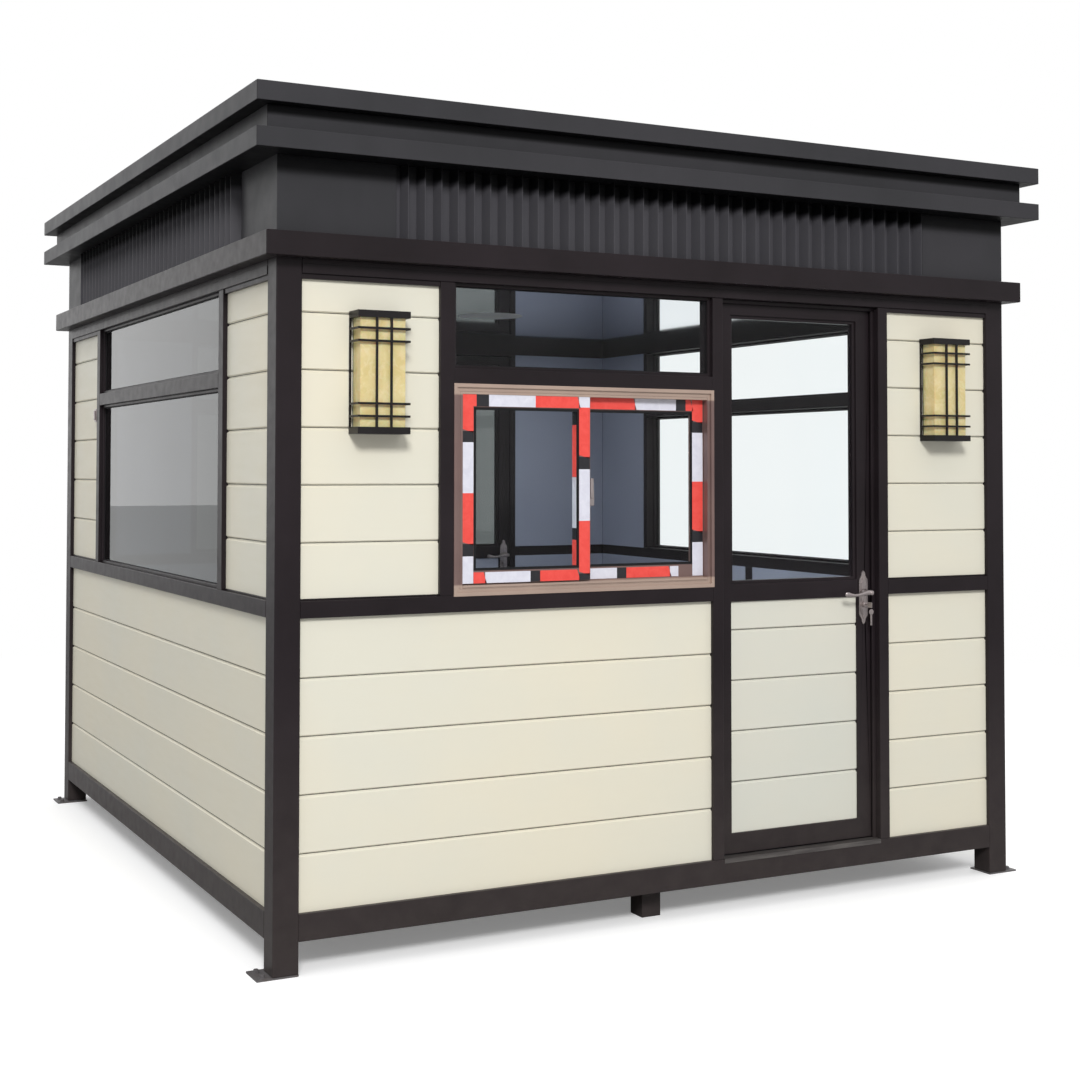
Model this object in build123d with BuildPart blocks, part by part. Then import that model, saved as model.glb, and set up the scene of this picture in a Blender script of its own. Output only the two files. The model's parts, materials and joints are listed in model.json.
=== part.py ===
from build123d import *
import os

# Security guard booth: a welded steel frame on short legs, clad with grooved boards, glazed on
# four sides, with a door front and back and a flat roof behind a stepped cornice.
# Millimetres. The origin is the centre of the plan, on the ground. +X is to the right seen from
# the front, the front faces -Y, +Z is up.

# Overall plan, over the corner posts
width = 3000
depth = 3000

# Steel frame
post = 85
leg_height = 105
beam_height = 85
rail = 54
mullion = 52
door_post = 44
top_beam_height = 118
joist = 76
x_joist = -78
stud_width = 60
stud_offset = 60

# Heights of the walls, above the base beams
lower_wall = 910
clear_height = 1987
transom_height = 1653
transom_rail = 52

# Feet
plate_thickness = 6
plate_reach = 50
plate_depth = 105

# Layout of the front wall, from the left post, and how far left the back door is of the front one
lamp_panel = 478
service_width = 1014
door_width = 705
back_shift = 35

# Layout of the side walls, from the front post and from the back post
side_panel_front = 462
side_panel_back = 513
side_panel_back_right = 400

# Boards
board_recess = 16
board_thickness = 50
board_pitch = 181
groove_width = 14
groove_depth = 6
groove_taper = 38

# Glass
glass_recess = 26
glass_thickness = 6

# Floor and ceiling
floor_thickness = 20
ceiling_thickness = 20

# Service window
window_face = 30
window_setback = 4
window_depth = 78
sash_face = 48
sash_depth = 22
sash_setback = 6
sash_gap = 2
sash_glass = 5

# Doors
lining_web = 6
stop_width = 14
stop_depth = 10
door_gap = 5
leaf_thickness = 45
hinge_stile = 50
lock_stile = 63
bottom_rail = 72
lock_rail = 64
lock_rail_height = 901
head_rail = 43
leaf_board_recess = 8
leaf_board_thickness = 30
leaf_glass_recess = 18

# Hinges
hinge_count = 3
hinge_height = 100
hinge_radius = 7
hinge_plate = 3
hinge_plate_width = 42
hinge_pin_radius = 3.5
hinge_clearance = 0.3
hinge_gap = 0.5
hinge_end_inset = 180

# Door handles
handle_height = 918
handle_inset = 36
plate_length = 200
plate_width = 40
plate_chamfer = 12
handle_plate = 8
plate_drop = 20
spindle_radius = 5
spindle_bore = 6
neck_radius = 9
neck_length = 48
lever_length = 120
lever_width = 20
lever_depth = 12
lever_gap = 0.5
lock_drop = 46
lock_radius = 9
lock_length = 10

# Ledge, frieze and cornices
ledge_drop = 71
ledge_height = 77
ledge_overhang = 50
frieze_height = 250
frieze_depth = 65
pier_front = 404
pier_side = 353
flute_pitch = 59.4
flute_recess = 13
flute_overhang = 29
flute_base = 26
flute_tip = 2.5
cornice_height = 62
cornice_overhang = 100
neck_height = 79
neck_overhang = 50
neck_bearing = 20
crown_height = 61
crown_overhang = 100
roof_thickness = 30
mitre_gap = 0.5

# Lamps
lamp_width = 180
lamp_height = 390
lamp_depth = 80
lamp_cap = 22
lamp_bar = 7
lamp_inset = 13
lamp_bar_first = 56
lamp_bar_second = 96
lamp_bar_offset = 25
lamp_bottom = 1486
lamp_side_gap = 160
ceiling_lamp_radius = 140
ceiling_lamp_height = 60

# Levels
z_deck = leg_height + beam_height
z_sill = z_deck + lower_wall
z_window = z_sill + rail
z_transom = z_deck + transom_height
z_light = z_transom + transom_rail
z_head = z_deck + clear_height
z_frieze = z_head + top_beam_height
z_ledge = z_frieze - ledge_drop
z_cornice = z_frieze + frieze_height
z_neck = z_cornice + cornice_height
z_crown = z_neck + neck_height
z_top = z_crown + crown_height

# Lines of the front wall, along X
x_left = -width / 2 + post
x_lamp_panel = x_left + lamp_panel
x_service = x_lamp_panel + mullion
x_service_end = x_service + service_width
x_door = x_service_end + door_post
x_door_end = x_door + door_width
x_right_panel = x_door_end + door_post
x_right = width / 2 - post

# Lines of the side walls, along Y
y_front = -depth / 2 + post
y_side_mullion = y_front + side_panel_front
y_side_window = y_side_mullion + mullion
y_back = depth / 2 - post

# One plane for each wall: x along the wall, y up, z out of the booth
front = Plane(origin=(0, -depth / 2, 0), x_dir=(1, 0, 0), z_dir=(0, -1, 0))
back = Plane(origin=(0, depth / 2, 0), x_dir=(-1, 0, 0), z_dir=(0, 1, 0))
left = Plane(origin=(-width / 2, 0, 0), x_dir=(0, -1, 0), z_dir=(-1, 0, 0))
right = Plane(origin=(width / 2, 0, 0), x_dir=(0, 1, 0), z_dir=(1, 0, 0))

# Front and back: the plane, the sign of its x, and how far the door and window's end move left
front_back = ((front, 1, 0), (back, -1, back_shift))

# Left and right: the plane, the sign of its x, where the last panel starts, and the name
left_right = (
    (left, -1, y_back - side_panel_back, "left"),
    (right, 1, y_back - side_panel_back_right, "right"),
)

os.makedirs("parts", exist_ok=True)


def keep(builder, name):
    """Labels a finished piece and writes it."""
    builder.part.label = name
    export_step(builder.part, f"parts/{name}.step")


def bar(plane, x_0, x_1, z_0, z_1, setback, thickness):
    """Adds a bar that fills x_0 to x_1 and z_0 to z_1 of a wall, behind its outer plane."""
    with BuildSketch(plane.offset(-setback)) as outline:
        with Locations(((x_0 + x_1) / 2, (z_0 + z_1) / 2)):
            Rectangle(abs(x_1 - x_0), z_1 - z_0)
    extrude(outline.sketch, amount=-thickness)


def boards(plane, x_0, x_1, z_0, z_1, setback, thickness):
    """Adds a panel of boards: grooves part them, and the first board is a groove's half shorter."""
    bar(plane, x_0, x_1, z_0, z_1, setback, thickness)
    count = int((z_1 - z_0) // board_pitch)
    lines = [z_0 + (n + 1) * board_pitch for n in range(count)]
    lines = [z for z in lines if z < z_1 - groove_width]
    with BuildSketch(plane.offset(-setback)) as outline:
        with Locations(*[((x_0 + x_1) / 2, z - groove_width / 4) for z in lines]):
            Rectangle(abs(x_1 - x_0) + 4 * groove_width, groove_width)
    extrude(outline.sketch, amount=-groove_depth, taper=groove_taper, mode=Mode.SUBTRACT)


def ring(overhang, inset, z_0, height):
    """Adds four mitred lengths round the booth, from overhang outside the posts to inset inside."""
    run = overhang + inset
    middle = (overhang - inset) / 2
    with BuildSketch(Plane.XY.offset(z_0)) as outline:
        Rectangle(width + 2 * overhang, depth + 2 * overhang)
        Rectangle(width - 2 * inset, depth - 2 * inset, mode=Mode.SUBTRACT)
        for side_x in (-1, 1):
            for side_y in (-1, 1):
                with Locations((side_x * (width / 2 + middle), side_y * (depth / 2 + middle))):
                    Rectangle(2 * run, mitre_gap, rotation=45 * side_x * side_y, mode=Mode.SUBTRACT)
    extrude(outline.sketch, amount=height)


def corners(inset_x, inset_y):
    """The four corners of the plan, as far in as given."""
    across, along = width / 2 - inset_x, depth / 2 - inset_y
    return [(side_x * across, side_y * along) for side_x in (-1, 1) for side_y in (-1, 1)]


# Steel frame ---------------------------------------------------------------------------------

with BuildPart() as corner_posts:
    with BuildSketch(Plane.XY.offset(plate_thickness)):
        with Locations(*corners(post / 2, post / 2)):
            Rectangle(post, post)
    extrude(amount=z_frieze - plate_thickness)
keep(corner_posts, "corner_posts")

with BuildPart() as foot_plates:
    with BuildSketch():
        with Locations(*corners((post - plate_reach) / 2, plate_depth / 2)):
            Rectangle(post + plate_reach, plate_depth)
    extrude(amount=plate_thickness)
keep(foot_plates, "foot_plates")

with BuildPart() as mid_legs:
    with BuildSketch():
        for side_y in (-1, 1):
            with Locations((x_joist, side_y * (depth / 2 - post - joist / 2))):
                Rectangle(joist, joist)
    extrude(amount=z_deck - floor_thickness - joist)
keep(mid_legs, "mid_legs")

with BuildPart() as floor_joist:
    with BuildSketch(Plane.XY.offset(z_deck - floor_thickness - joist)):
        with Locations((x_joist, 0)):
            Rectangle(joist, depth - 2 * post)
    extrude(amount=joist)
keep(floor_joist, "floor_joist")

with BuildPart() as base_beams:
    for wall, reach in ((front, x_right), (back, x_right), (left, y_back), (right, y_back)):
        bar(wall, -reach, reach, leg_height, z_deck, 0, post)
keep(base_beams, "base_beams")

with BuildPart() as floor_deck:
    with BuildSketch(Plane.XY.offset(z_deck - floor_thickness)):
        Rectangle(width - 2 * post, depth - 2 * post)
    extrude(amount=floor_thickness)
keep(floor_deck, "floor_deck")

with BuildPart() as top_beams:
    for wall, reach in ((front, x_right), (back, x_right), (left, y_back), (right, y_back)):
        bar(wall, -reach, reach, z_head, z_frieze, 0, post)
keep(top_beams, "top_beams")

with BuildPart() as sill_rails:
    for wall, side, shift in front_back:
        bar(wall, side * x_left, side * (x_service_end - shift), z_sill, z_window, 0, post)
        bar(wall, side * (x_right_panel - shift), side * x_right, z_sill, z_window, 0, post)
    for wall in (left, right):
        bar(wall, y_front, y_back, z_sill, z_window, 0, post)
keep(sill_rails, "sill_rails")

with BuildPart() as window_mullions:
    for wall, side, shift in front_back:
        bar(wall, side * x_lamp_panel, side * x_service, z_window, z_head, 0, post)
    for wall, side, y_panel, name in left_right:
        bar(wall, side * y_side_mullion, side * y_side_window, z_window, z_head, 0, post)
        bar(wall, side * (y_panel - mullion), side * y_panel, z_window, z_head, 0, post)
keep(window_mullions, "window_mullions")

with BuildPart() as transom_rails:
    for wall, side, shift in front_back:
        bar(wall, side * x_service, side * (x_service_end - shift), z_transom, z_light, 0, post)
    for wall, side, y_panel, name in left_right:
        bar(wall, side * y_side_window, side * (y_panel - mullion), z_transom, z_light, 0, post)
keep(transom_rails, "transom_rails")

with BuildPart() as door_posts:
    for wall, side, shift in front_back:
        for x_0, x_1 in ((x_service_end, x_door), (x_door_end, x_right_panel)):
            bar(wall, side * (x_0 - shift), side * (x_1 - shift), z_deck, z_head, 0, post)
keep(door_posts, "door_posts")

with BuildPart() as wall_studs:
    stud_setback = board_recess + board_thickness
    stud_line = stud_offset - stud_width / 2, stud_offset + stud_width / 2
    for wall, side, y_panel, name in left_right:
        y_0, y_1 = side * stud_line[0], side * stud_line[1]
        bar(wall, y_0, y_1, z_deck, z_sill, stud_setback, post - stud_setback)
keep(wall_studs, "wall_studs")

# Walls ---------------------------------------------------------------------------------------

for wall, side, shift in front_back:
    lower = (x_left, x_service_end - shift), (x_right_panel - shift, x_right)
    upper = (x_left, x_lamp_panel), (x_right_panel - shift, x_right)
    with BuildPart() as end_wall:
        for x_0, x_1 in lower:
            boards(wall, side * x_0, side * x_1, z_deck, z_sill, board_recess, board_thickness)
        for x_0, x_1 in upper:
            boards(wall, side * x_0, side * x_1, z_window, z_head, board_recess, board_thickness)
    keep(end_wall, "front_wall" if side > 0 else "back_wall")

for wall, side, y_panel, name in left_right:
    with BuildPart() as side_wall:
        boards(wall, side * y_front, side * y_back, z_deck, z_sill, board_recess, board_thickness)
        for y_0, y_1 in ((y_front, y_side_mullion), (y_panel, y_back)):
            boards(wall, side * y_0, side * y_1, z_window, z_head, board_recess, board_thickness)
    keep(side_wall, f"{name}_wall")

# Glass ---------------------------------------------------------------------------------------

with BuildPart() as front_transom_glass:
    bar(front, x_service, x_service_end, z_light, z_head, glass_recess, glass_thickness)
keep(front_transom_glass, "front_transom_glass")

with BuildPart() as back_window_glass:
    for z_0, z_1 in ((z_window, z_transom), (z_light, z_head)):
        bar(back, -x_service, back_shift - x_service_end, z_0, z_1, glass_recess,
            glass_thickness)
keep(back_window_glass, "back_window_glass")

for wall, side, y_panel, name in left_right:
    with BuildPart() as side_glass:
        for z_0, z_1 in ((z_window, z_transom), (z_light, z_head)):
            y_0, y_1 = side * y_side_window, side * (y_panel - mullion)
            bar(wall, y_0, y_1, z_0, z_1, glass_recess, glass_thickness)
    keep(side_glass, f"{name}_window_glass")

# Service window ------------------------------------------------------------------------------

x_track, x_track_end = x_service + window_face, x_service_end - window_face
z_track, z_track_end = z_window + window_face, z_transom - window_face
sash_width = (x_track_end - x_track + sash_face) / 2

with BuildPart() as service_window_frame:
    bar(front, x_service, x_service_end, z_window, z_transom, window_setback, window_depth)
    with BuildSketch(front.offset(-window_setback)):
        with Locations(((x_track + x_track_end) / 2, (z_track + z_track_end) / 2)):
            Rectangle(x_track_end - x_track, z_track_end - z_track)
    extrude(amount=-window_depth, mode=Mode.SUBTRACT)
keep(service_window_frame, "service_window_frame")

sashes = (
    ("window_sash_left", x_track, sash_setback),
    ("window_sash_right", x_track_end - sash_width, sash_setback + sash_depth + sash_gap),
)
for name, x_0, setback in sashes:
    x_1 = x_0 + sash_width
    with BuildPart() as sash:
        bar(front, x_0, x_1, z_track, z_track_end, setback, sash_depth)
        with BuildSketch(front.offset(-setback)):
            with Locations(((x_0 + x_1) / 2, (z_track + z_track_end) / 2)):
                Rectangle(sash_width - 2 * sash_face, z_track_end - z_track - 2 * sash_face)
        extrude(amount=-sash_depth, mode=Mode.SUBTRACT)
    keep(sash, name)

with BuildPart() as sash_panes:
    for name, x_0, setback in sashes:
        x_1 = x_0 + sash_width
        pane_setback = setback + (sash_depth - sash_glass) / 2
        bar(front, x_0 + sash_face, x_1 - sash_face, z_track + sash_face,
            z_track_end - sash_face, pane_setback, sash_glass)
keep(sash_panes, "sash_panes")

# Doors ---------------------------------------------------------------------------------------
# Both doors are made on the front wall's lines. The back one is the front one's mirror image,
# moved left.

x_leaf, x_leaf_end = x_door + lining_web + door_gap, x_door_end - lining_web - door_gap
z_leaf, z_leaf_end = z_deck + door_gap, z_head - lining_web - door_gap
x_pane, x_pane_end = x_leaf + hinge_stile, x_leaf_end - lock_stile
leaf_setback = post - leaf_thickness
lining_setback = leaf_setback - door_gap - stop_depth
z_lock_rail = z_deck + lock_rail_height
z_glass = z_lock_rail + lock_rail
z_glass_end = z_leaf_end - head_rail
z_panel = z_leaf + bottom_rail
x_handle = x_leaf_end - handle_inset
z_handle = z_deck + handle_height
y_leaf = -depth / 2 + leaf_setback
y_leaf_in = y_leaf + leaf_thickness
x_hinge = x_leaf - door_gap / 2
y_hinge = y_leaf_in + hinge_radius + hinge_gap
hinge_step = (z_leaf_end - z_leaf - 2 * hinge_end_inset - hinge_height) / (hinge_count - 1)
hinge_levels = [z_leaf + hinge_end_inset + n * hinge_step for n in range(hinge_count)]


def door_lining():
    """The door's lining: a web on each side and overhead, each with a stop."""
    web_depth = post - lining_setback
    z_side = z_head - stop_width
    for x_0, side in ((x_door, 1), (x_door_end, -1)):
        bar(front, x_0, x_0 + side * lining_web, z_deck, z_side, lining_setback, web_depth)
        bar(front, x_0, x_0 + side * stop_width, z_deck, z_side, lining_setback, stop_depth)
    bar(front, x_door, x_door_end, z_head - lining_web, z_head, lining_setback, web_depth)
    bar(front, x_door, x_door_end, z_side + mitre_gap, z_head, lining_setback, stop_depth)


def leaf_frame():
    """The leaf's stiles and rails, with bores for the handle's spindle."""
    bar(front, x_leaf, x_leaf_end, z_leaf, z_leaf_end, leaf_setback, leaf_thickness)
    with BuildSketch(front.offset(-leaf_setback)) as outline:
        for z_0, z_1 in ((z_panel, z_lock_rail), (z_glass, z_glass_end)):
            with Locations(((x_pane + x_pane_end) / 2, (z_0 + z_1) / 2)):
                Rectangle(x_pane_end - x_pane, z_1 - z_0)
        with Locations((x_handle, z_handle)):
            Circle(spindle_bore)
    extrude(outline.sketch, amount=-leaf_thickness, mode=Mode.SUBTRACT)


def leaf_glass():
    """The leaf's pane."""
    setback = leaf_setback + leaf_glass_recess
    bar(front, x_pane, x_pane_end, z_glass, z_glass_end, setback, glass_thickness)


def leaf_boards():
    """The leaf's boarded lower panel."""
    setback = leaf_setback + leaf_board_recess
    boards(front, x_pane, x_pane_end, z_panel, z_lock_rail, setback, leaf_board_thickness)


def handle_plates():
    """The long plates outside and inside, each with its lock cylinder's end."""
    z_plate = z_handle - plate_drop
    for setback, outward in ((leaf_setback, 1), (leaf_setback + leaf_thickness, -1)):
        with BuildSketch(front.offset(-setback)) as outline:
            with Locations((x_handle, z_plate)):
                Rectangle(plate_width, plate_length)
            chamfer(outline.vertices(), length=plate_chamfer)
            with Locations((x_handle, z_handle)):
                Circle(spindle_bore, mode=Mode.SUBTRACT)
        extrude(outline.sketch, amount=outward * handle_plate)
        with BuildSketch(front.offset(outward * handle_plate - setback)) as outline:
            with Locations((x_handle, z_handle - lock_drop)):
                Circle(lock_radius)
        extrude(outline.sketch, amount=outward * lock_length)


def levers():
    """Both levers on their spindle. They point at the hinge side."""
    with BuildSketch(front.offset(handle_plate + lever_gap - leaf_setback)) as outline:
        with Locations((x_handle, z_handle)):
            Circle(spindle_radius)
    extrude(outline.sketch, amount=-(leaf_thickness + 2 * (handle_plate + lever_gap)))
    for setback, outward in ((leaf_setback, 1), (leaf_setback + leaf_thickness, -1)):
        with BuildSketch(front.offset(outward * (handle_plate + lever_gap) - setback)) as outline:
            with Locations((x_handle, z_handle)):
                Circle(neck_radius)
        extrude(outline.sketch, amount=outward * neck_length)
        y_grip = -depth / 2 + setback - outward * (handle_plate + neck_length - lever_depth / 2)
        grip = Plane(origin=(x_handle, y_grip, z_handle), x_dir=(0, 1, 0), z_dir=(-1, 0, 0))
        with BuildSketch(grip) as outline:
            Rectangle(lever_depth, lever_width)
        extrude(outline.sketch, amount=lever_length)


def hinge_barrels(lower):
    """The halves of the butt hinges: lower ones with pins on the post, upper ones on the leaf."""
    half = hinge_height / 2
    side = -1 if lower else 1
    for z_0 in hinge_levels:
        z_barrel = z_0 if lower else z_0 + half + hinge_clearance
        with BuildSketch(Plane.XY.offset(z_barrel)) as outline:
            with Locations((x_hinge, y_hinge)):
                Circle(hinge_radius)
                if not lower:
                    Circle(hinge_pin_radius + hinge_clearance, mode=Mode.SUBTRACT)
        extrude(outline.sketch, amount=half - hinge_clearance)
        with BuildSketch(Plane.XY.offset(z_barrel)) as outline:
            with Locations((x_hinge + side * hinge_plate_width / 2,
                            y_leaf_in + hinge_plate / 2)):
                Rectangle(hinge_plate_width, hinge_plate)
        extrude(outline.sketch, amount=half - hinge_clearance)
        if lower:
            with BuildSketch(Plane.XY.offset(z_0 + half - hinge_clearance)) as outline:
                with Locations((x_hinge, y_hinge)):
                    Circle(hinge_pin_radius)
            extrude(outline.sketch, amount=half)


def front_and_back(make, names):
    """Writes what make adds for the front door, and its moved mirror image for the back door."""
    with BuildPart() as piece:
        make()
    keep(piece, names[0])
    with BuildPart() as twin:
        add(piece.part.mirror(Plane.XZ).moved(Location((-back_shift, 0, 0))))
    keep(twin, names[1])


front_and_back(door_lining, ("front_door_lining", "back_door_lining"))
front_and_back(leaf_frame, ("front_door_leaf", "back_door_leaf"))
front_and_back(leaf_glass, ("front_door_glass", "back_door_glass"))
front_and_back(leaf_boards, ("front_door_boards", "back_door_boards"))
front_and_back(handle_plates, ("front_handle_plates", "back_handle_plates"))
front_and_back(levers, ("front_levers", "back_levers"))
front_and_back(lambda: hinge_barrels(True), ("front_hinge_pins", "back_hinge_pins"))
front_and_back(lambda: hinge_barrels(False), ("front_hinge_knuckles", "back_hinge_knuckles"))

# Ledge, frieze, cornices and roof --------------------------------------------------------------

with BuildPart() as ledge:
    ring(ledge_overhang, 0, z_ledge, ledge_height)
keep(ledge, "ledge")

with BuildPart() as frieze_piers:
    with BuildSketch(Plane.XY.offset(z_frieze)):
        Rectangle(width, depth)
        Rectangle(width - 2 * frieze_depth, depth - 2 * frieze_depth, mode=Mode.SUBTRACT)
        Rectangle(width - 2 * pier_front, depth, mode=Mode.SUBTRACT)
        Rectangle(width, depth - 2 * pier_side, mode=Mode.SUBTRACT)
    extrude(amount=frieze_height)
keep(frieze_piers, "frieze_piers")


def fluting(wall, half_length):
    """Adds one wall's fluted panel: a board with sharp upright folds that stand on the ledge."""
    bar(wall, -half_length, half_length, z_frieze, z_cornice, flute_recess,
        frieze_depth - flute_recess)
    count = round(2 * half_length / flute_pitch)
    pitch = 2 * half_length / count
    z_foot = z_ledge + ledge_height
    foot = Plane(origin=wall.origin + Vector(0, 0, z_foot), x_dir=wall.x_dir, z_dir=(0, 0, 1))
    with BuildSketch(foot) as outline:
        for n in range(count):
            x_rib = -half_length + (n + 0.5) * pitch
            with BuildLine():
                Polyline(
                    (x_rib - flute_base / 2, flute_recess),
                    (x_rib - flute_tip / 2, -flute_overhang),
                    (x_rib + flute_tip / 2, -flute_overhang),
                    (x_rib + flute_base / 2, flute_recess),
                    close=True,
                )
            make_face()
    extrude(outline.sketch, amount=z_cornice - z_foot)


with BuildPart() as fluted_frieze:
    for wall in (front, back):
        fluting(wall, width / 2 - pier_front)
    for wall in (left, right):
        fluting(wall, depth / 2 - pier_side)
keep(fluted_frieze, "fluted_frieze")

with BuildPart() as lower_cornice:
    ring(cornice_overhang, frieze_depth, z_cornice, cornice_height)
keep(lower_cornice, "lower_cornice")

with BuildPart() as cornice_neck:
    ring(neck_overhang, frieze_depth + neck_bearing, z_neck, neck_height)
keep(cornice_neck, "cornice_neck")

with BuildPart() as top_cornice:
    ring(crown_overhang, frieze_depth, z_crown, crown_height)
keep(top_cornice, "top_cornice")

with BuildPart() as roof_deck:
    with BuildSketch(Plane.XY.offset(z_crown)):
        Rectangle(width - 2 * frieze_depth, depth - 2 * frieze_depth)
    extrude(amount=roof_thickness)
keep(roof_deck, "roof_deck")

with BuildPart() as ceiling_panel:
    with BuildSketch(Plane.XY.offset(z_frieze)):
        Rectangle(width - 2 * frieze_depth, depth - 2 * frieze_depth)
    extrude(amount=ceiling_thickness)
keep(ceiling_panel, "ceiling_panel")

with BuildPart() as ceiling_lamp:
    with BuildSketch(Plane.XY.offset(z_frieze - ceiling_lamp_height)):
        Circle(ceiling_lamp_radius)
    extrude(amount=ceiling_lamp_height)
keep(ceiling_lamp, "ceiling_lamp")

# Wall lamps ------------------------------------------------------------------------------------

x_lamps = ((x_left + x_lamp_panel) / 2 + 14, (x_right_panel + x_right) / 2 + 14)
z_lamp = z_deck + lamp_bottom
z_lamp_end = z_lamp + lamp_height
lamp_setback = board_recess - lamp_depth

with BuildPart() as lamp_cages:
    for x_lamp in x_lamps:
        x_0, x_1 = x_lamp - lamp_width / 2, x_lamp + lamp_width / 2
        for z_0 in (z_lamp, z_lamp_end - lamp_cap):
            bar(front, x_0, x_1, z_0, z_0 + lamp_cap, lamp_setback, lamp_depth)
        bar(front, x_0 + lamp_inset, x_1 - lamp_inset, z_lamp, z_lamp_end, board_recess - 6, 6)
        for x_bar in (x_0, x_1 - lamp_bar):
            bar(front, x_bar, x_bar + lamp_bar, z_lamp, z_lamp_end, board_recess - 6, 6)
            for rise in (lamp_bar_first, lamp_bar_second):
                for z_bar in (z_lamp + rise, z_lamp_end - rise):
                    bar(front, x_bar, x_bar + lamp_bar, z_bar - lamp_bar / 2,
                        z_bar + lamp_bar / 2, lamp_setback, lamp_depth)
        for rise in (lamp_bar_first, lamp_bar_second):
            for z_bar in (z_lamp + rise, z_lamp_end - rise):
                bar(front, x_0, x_1, z_bar - lamp_bar / 2, z_bar + lamp_bar / 2,
                    lamp_setback, lamp_bar)
        for x_bar in (x_lamp - lamp_bar_offset, x_lamp + lamp_bar_offset):
            bar(front, x_bar - lamp_bar / 2, x_bar + lamp_bar / 2, z_lamp, z_lamp_end,
                lamp_setback, lamp_bar)
keep(lamp_cages, "lamp_cages")

with BuildPart() as lamp_diffusers:
    for x_lamp in x_lamps:
        x_0 = x_lamp - lamp_width / 2 + lamp_inset
        x_1 = x_lamp + lamp_width / 2 - lamp_inset
        bar(front, x_0, x_1, z_lamp + lamp_cap, z_lamp_end - lamp_cap,
            lamp_setback + lamp_inset, lamp_depth - lamp_inset - 6)
keep(lamp_diffusers, "lamp_diffusers")
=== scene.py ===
import itertools
import json
import math

import bmesh
import bpy
from mathutils import Matrix, Vector


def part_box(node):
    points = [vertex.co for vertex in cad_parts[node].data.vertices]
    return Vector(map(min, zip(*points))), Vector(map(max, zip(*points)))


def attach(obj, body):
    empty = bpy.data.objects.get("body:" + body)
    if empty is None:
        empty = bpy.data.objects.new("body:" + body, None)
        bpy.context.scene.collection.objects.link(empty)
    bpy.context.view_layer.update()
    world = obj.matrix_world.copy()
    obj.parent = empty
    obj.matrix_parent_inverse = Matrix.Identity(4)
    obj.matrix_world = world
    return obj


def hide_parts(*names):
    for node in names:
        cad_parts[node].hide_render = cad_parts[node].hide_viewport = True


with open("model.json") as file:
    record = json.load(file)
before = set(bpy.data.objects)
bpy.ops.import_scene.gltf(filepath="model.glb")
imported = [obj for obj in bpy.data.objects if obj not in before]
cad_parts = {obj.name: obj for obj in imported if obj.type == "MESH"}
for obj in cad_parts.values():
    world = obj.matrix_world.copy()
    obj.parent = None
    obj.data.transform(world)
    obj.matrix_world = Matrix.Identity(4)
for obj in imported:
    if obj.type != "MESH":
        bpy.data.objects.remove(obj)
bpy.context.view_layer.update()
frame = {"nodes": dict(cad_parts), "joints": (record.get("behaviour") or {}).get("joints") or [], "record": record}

# ---------------------------------------------------------------- camera and light

CAMERA_AT = Vector((-3.1336, -6.2035, 1.5663))
YAW, PITCH, ROLL = (math.radians(a) for a in (26.443, 1.742, 0.112))
LENS, SENSOR = 53.257, 36.0
SHIFT = (0.0556, -0.1103)
FAR_CLIP = 200.0


def add_camera():
    forward = Vector((
        math.sin(YAW) * math.cos(PITCH),
        math.cos(YAW) * math.cos(PITCH),
        math.sin(PITCH),
    ))
    level = Vector((math.cos(YAW), -math.sin(YAW), 0.0))
    upright = level.cross(forward)
    right = math.cos(ROLL) * level + math.sin(ROLL) * upright
    up = -math.sin(ROLL) * level + math.cos(ROLL) * upright
    turn = Matrix((right, up, -forward)).transposed()
    data = bpy.data.cameras.new("camera")
    data.lens, data.sensor_width, data.sensor_fit = LENS, SENSOR, "HORIZONTAL"
    data.shift_x, data.shift_y = SHIFT
    data.clip_end = FAR_CLIP
    camera = bpy.data.objects.new("camera", data)
    camera.matrix_world = Matrix.Translation(CAMERA_AT) @ turn.to_4x4()
    bpy.context.scene.collection.objects.link(camera)
    bpy.context.scene.camera = camera


def add_area(name, at, target, size, power):
    data = bpy.data.lights.new(name, "AREA")
    data.shape, data.size, data.size_y = "RECTANGLE", size[0], size[1]
    data.energy = power
    lamp = bpy.data.objects.new(name, data)
    lamp.location = at
    lamp.rotation_euler = (Vector(target) - Vector(at)).to_track_quat("-Z", "Y").to_euler()
    bpy.context.scene.collection.objects.link(lamp)
    return lamp


def feed(tree, value, target):
    """Sets a socket to a number or a colour, or links another node's output to it."""
    if hasattr(value, "links"):
        tree.links.new(value, target)
    else:
        target.default_value = value


def math_node(tree, operation, first, second=0.0):
    made = tree.nodes.new("ShaderNodeMath")
    made.operation = operation
    for value, target in zip((first, second), made.inputs):
        feed(tree, value, target)
    return made.outputs[0]


def seen_share(tree):
    """1 for what the camera sees of the studio, straight or through glass."""
    path = tree.nodes.new("ShaderNodeLightPath")
    direct = math_node(tree, "LESS_THAN", path.outputs["Diffuse Depth"], 0.5)
    through = math_node(tree, "MULTIPLY", path.outputs["Is Transmission Ray"], direct)
    return math_node(tree, "MAXIMUM", path.outputs["Is Camera Ray"], through)


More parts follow.
